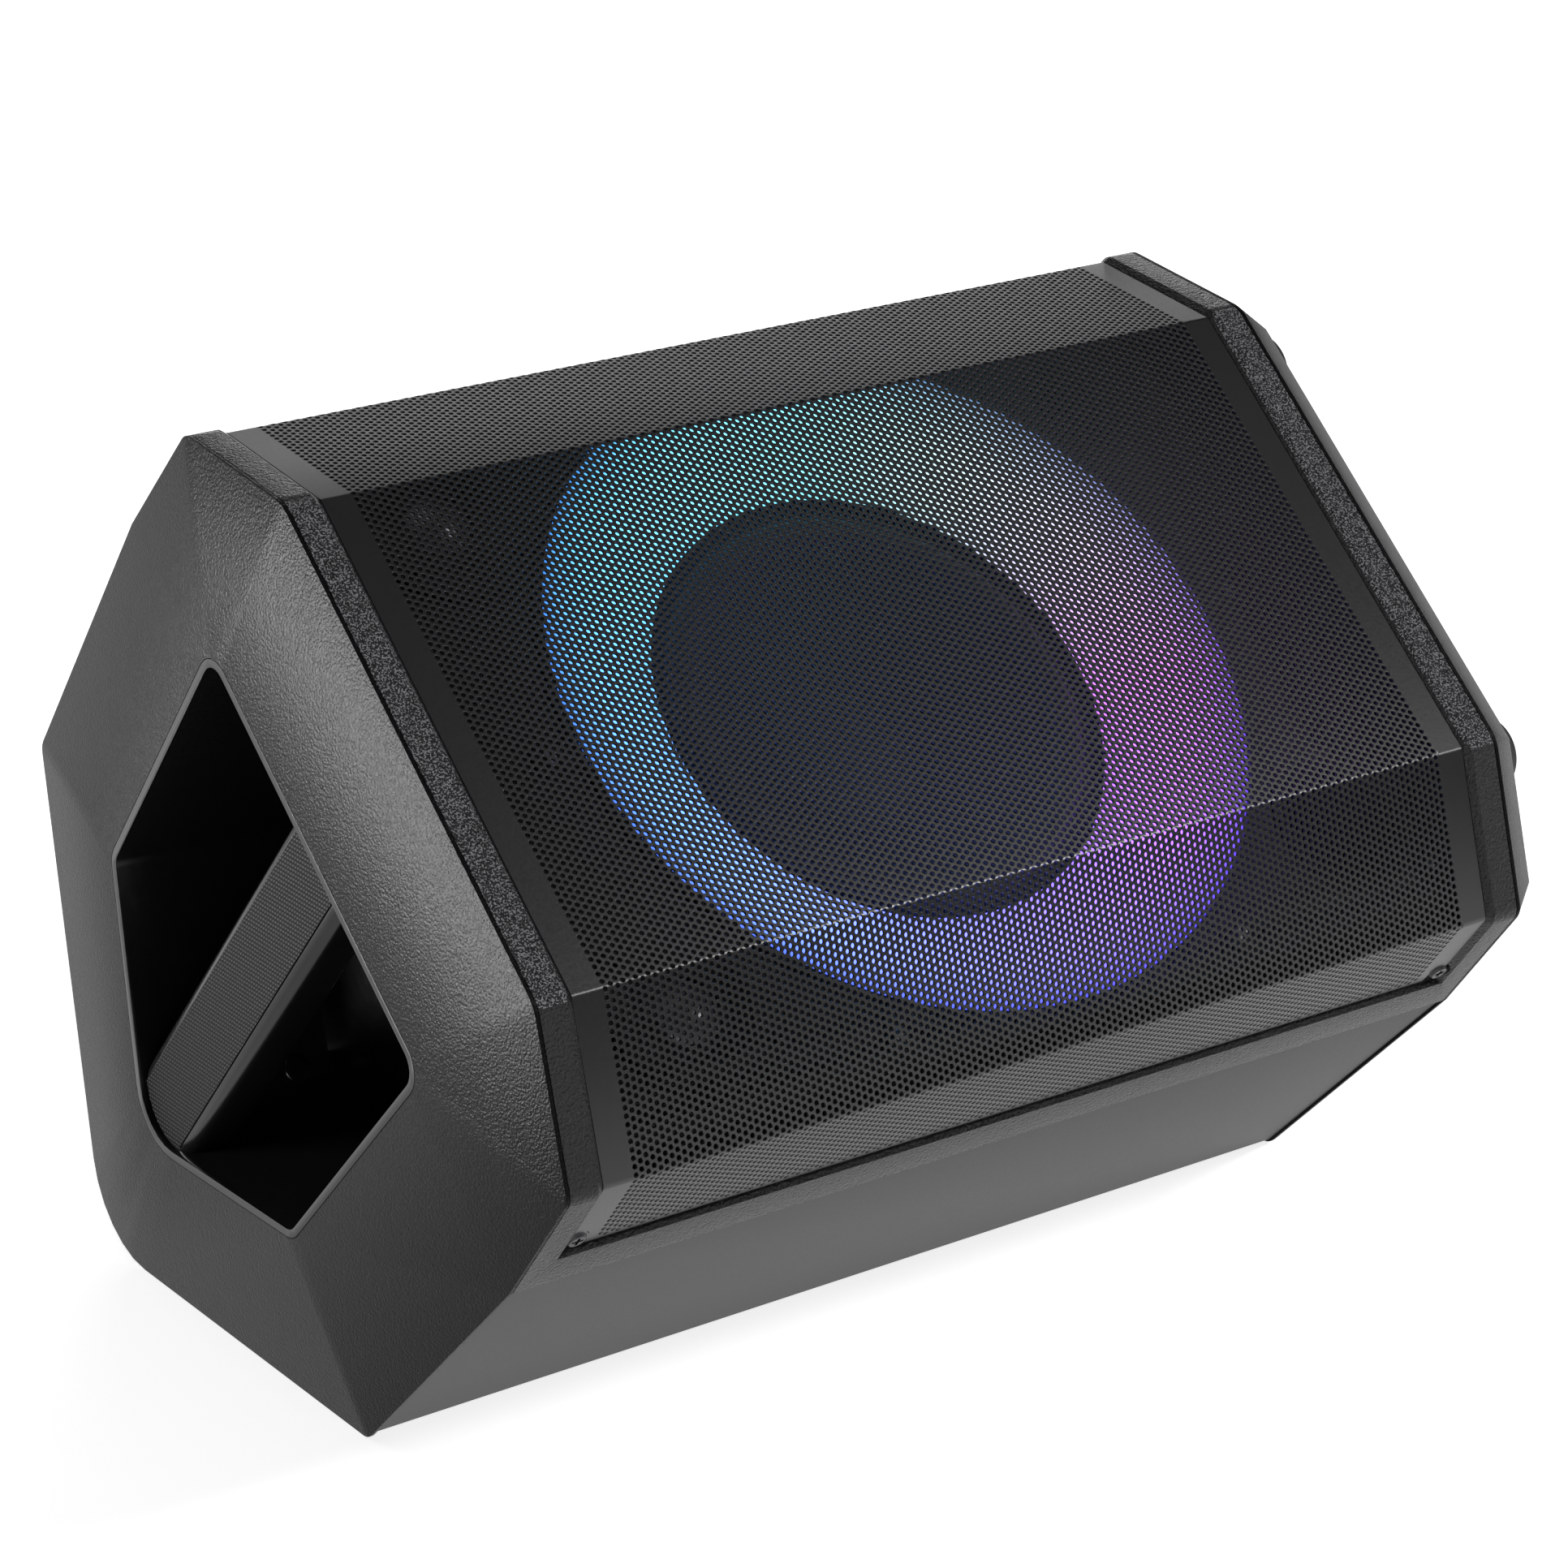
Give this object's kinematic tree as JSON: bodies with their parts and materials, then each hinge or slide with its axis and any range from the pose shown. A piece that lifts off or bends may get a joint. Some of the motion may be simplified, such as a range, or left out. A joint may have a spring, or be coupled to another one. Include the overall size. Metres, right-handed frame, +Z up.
{
  "type": "party speaker",
  "caption": "Wedge-shaped portable party speaker lying on its back face, with a folded perforated grille, a glowing ring round the woofer, a carrying handle in one end and feet on the other",
  "frame": {"origin": "centre of the bounding box's bottom, on the floor that the speaker lies on", "axes": "+X along the body from the handle end to the foot end, +Y to the back, away from the listener, +Z up; the front grille faces -Y and up"},
  "size_m": [0.4872, 0.3758, 0.3647],
  "materials": {
    "cabinet_plastic": "fine-textured dark polypropylene",
    "cap_plastic": "fine leather-grain dark polypropylene",
    "frame_plastic": "coarse speckled grain",
    "grille_steel": "satin black powder coat, perforated",
    "black_screw": "black cross-recess pan heads",
    "zinc_screw": "plated screws",
    "pocket_plastic": "smooth satin black",
    "grip_rubber": "fine-dotted soft grip",
    "foot_rubber": "matt black rubber",
    "baffle_plastic": "satin black",
    "circuit_board_white": "white solder mask",
    "light_lens": "frosted diffuser, lit from cyan to pink and violet",
    "basket_steel": "black pressed steel",
    "gasket_foam": "closed-cell foam",
    "surround_rubber": "half-roll rubber",
    "cone_paper": "coated pulp",
    "spider_cloth": "corrugated treated cloth",
    "coil_copper": "enamelled copper winding",
    "plated_iron": "zinc-plated iron",
    "ferrite": "dark ferrite",
    "tweeter_plastic": "satin black",
    "dome_film": "grey polymer film",
    "port_plastic": "matt black",
    "panel_plastic": "satin black",
    "knob_plastic": "soft-touch black with a pale pointer line",
    "button_plastic": "dark grey",
    "socket_plastic": "glossy black",
    "circuit_board": "green solder mask",
    "supply_case": "folded sheet",
    "battery_wrap": "blue shrink wrap"
  },
  "bodies": {
    "speaker_body": {"rear_cabinet": "cabinet_plastic", "front_frame": "frame_plastic", "handle_end_cap": "cap_plastic", "foot_end_cap": "cap_plastic", "grille": "grille_steel", "grille_screws": "black_screw", "frame_screws": "zinc_screw", "handle_cap_screws": "zinc_screw", "handle_cup": "pocket_plastic", "handle_bar": "pocket_plastic", "handle_grip": "grip_rubber", "handle_screws": "zinc_screw", "foot_front_upper": "foot_rubber", "foot_front_lower": "foot_rubber", "foot_back_upper": "foot_rubber", "foot_back_lower": "foot_rubber", "foot_screws": "zinc_screw", "base_pad_front": "foot_rubber", "base_pad_rear": "foot_rubber", "baffle": "baffle_plastic", "baffle_screws": "zinc_screw", "ring_housing": "baffle_plastic", "ring_board": "circuit_board_white", "ring_lens": "light_lens", "ring_screws": "zinc_screw", "woofer_basket": "basket_steel", "woofer_gasket": "gasket_foam", "woofer_surround": "surround_rubber", "woofer_spider": "spider_cloth", "woofer_top_plate": "plated_iron", "woofer_magnet": "ferrite", "woofer_pole_plate": "plated_iron", "woofer_screws": "zinc_screw", "tweeter_plate_upper": "tweeter_plastic", "tweeter_plate_lower": "tweeter_plastic", "tweeter_dome_upper": "dome_film", "tweeter_dome_lower": "dome_film", "tweeter_motor_upper": "ferrite", "tweeter_motor_lower": "ferrite", "port_upper": "port_plastic", "port_lower": "port_plastic", "panel_frame": "panel_plastic", "rear_panel": "panel_plastic", "panel_screws": "zinc_screw", "input_jacks": "socket_plastic", "usb_socket": "socket_plastic", "mains_inlet": "socket_plastic", "control_board": "circuit_board", "amplifier_board": "circuit_board", "power_supply": "supply_case", "battery_pack": "battery_wrap"},
    "volume_control": {"volume_knob": "knob_plastic"},
    "mic_control": {"mic_knob": "knob_plastic"},
    "bass_control": {"bass_knob": "knob_plastic"},
    "power_key": {"power_button": "button_plastic"},
    "light_key": {"light_button": "button_plastic"},
    "pairing_key": {"pairing_button": "button_plastic"},
    "cone_assembly": {"woofer_cone": "cone_paper", "woofer_dust_cap": "cone_paper", "voice_coil": "coil_copper"}
  },
  "joints": [
    {"name": "volume_turn", "type": "hinge", "parent": "speaker_body", "child": "volume_control", "pos_m": [-0.10797, 0.16306, 0.12999], "axis": [0, 0.9892, -0.1467], "range_deg": [-140, 140]},
    {"name": "mic_turn", "type": "hinge", "parent": "speaker_body", "child": "mic_control", "pos_m": [-0.07317, 0.16306, 0.12999], "axis": [0, 0.9892, -0.1467], "range_deg": [-140, 140]},
    {"name": "bass_turn", "type": "hinge", "parent": "speaker_body", "child": "bass_control", "pos_m": [-0.03837, 0.16306, 0.12999], "axis": [0, 0.9892, -0.1467], "range_deg": [-140, 140]},
    {"name": "power_press", "type": "slide", "parent": "speaker_body", "child": "power_key", "axis": [0, -0.9892, 0.1467], "range_m": [0, 0.0012], "stiffness_N_per_m": 600},
    {"name": "light_press", "type": "slide", "parent": "speaker_body", "child": "light_key", "axis": [0, -0.9892, 0.1467], "range_m": [0, 0.0012], "stiffness_N_per_m": 600},
    {"name": "pairing_press", "type": "slide", "parent": "speaker_body", "child": "pairing_key", "axis": [0, -0.9892, 0.1467], "range_m": [0, 0.0012], "stiffness_N_per_m": 600},
    {"name": "cone_travel", "type": "slide", "parent": "speaker_body", "child": "cone_assembly", "axis": [0, -0.6532, 0.7572], "range_m": [-0.004, 0.004], "stiffness_N_per_m": 4000, "deforming": ["woofer_surround", "woofer_spider"]}
  ]
}
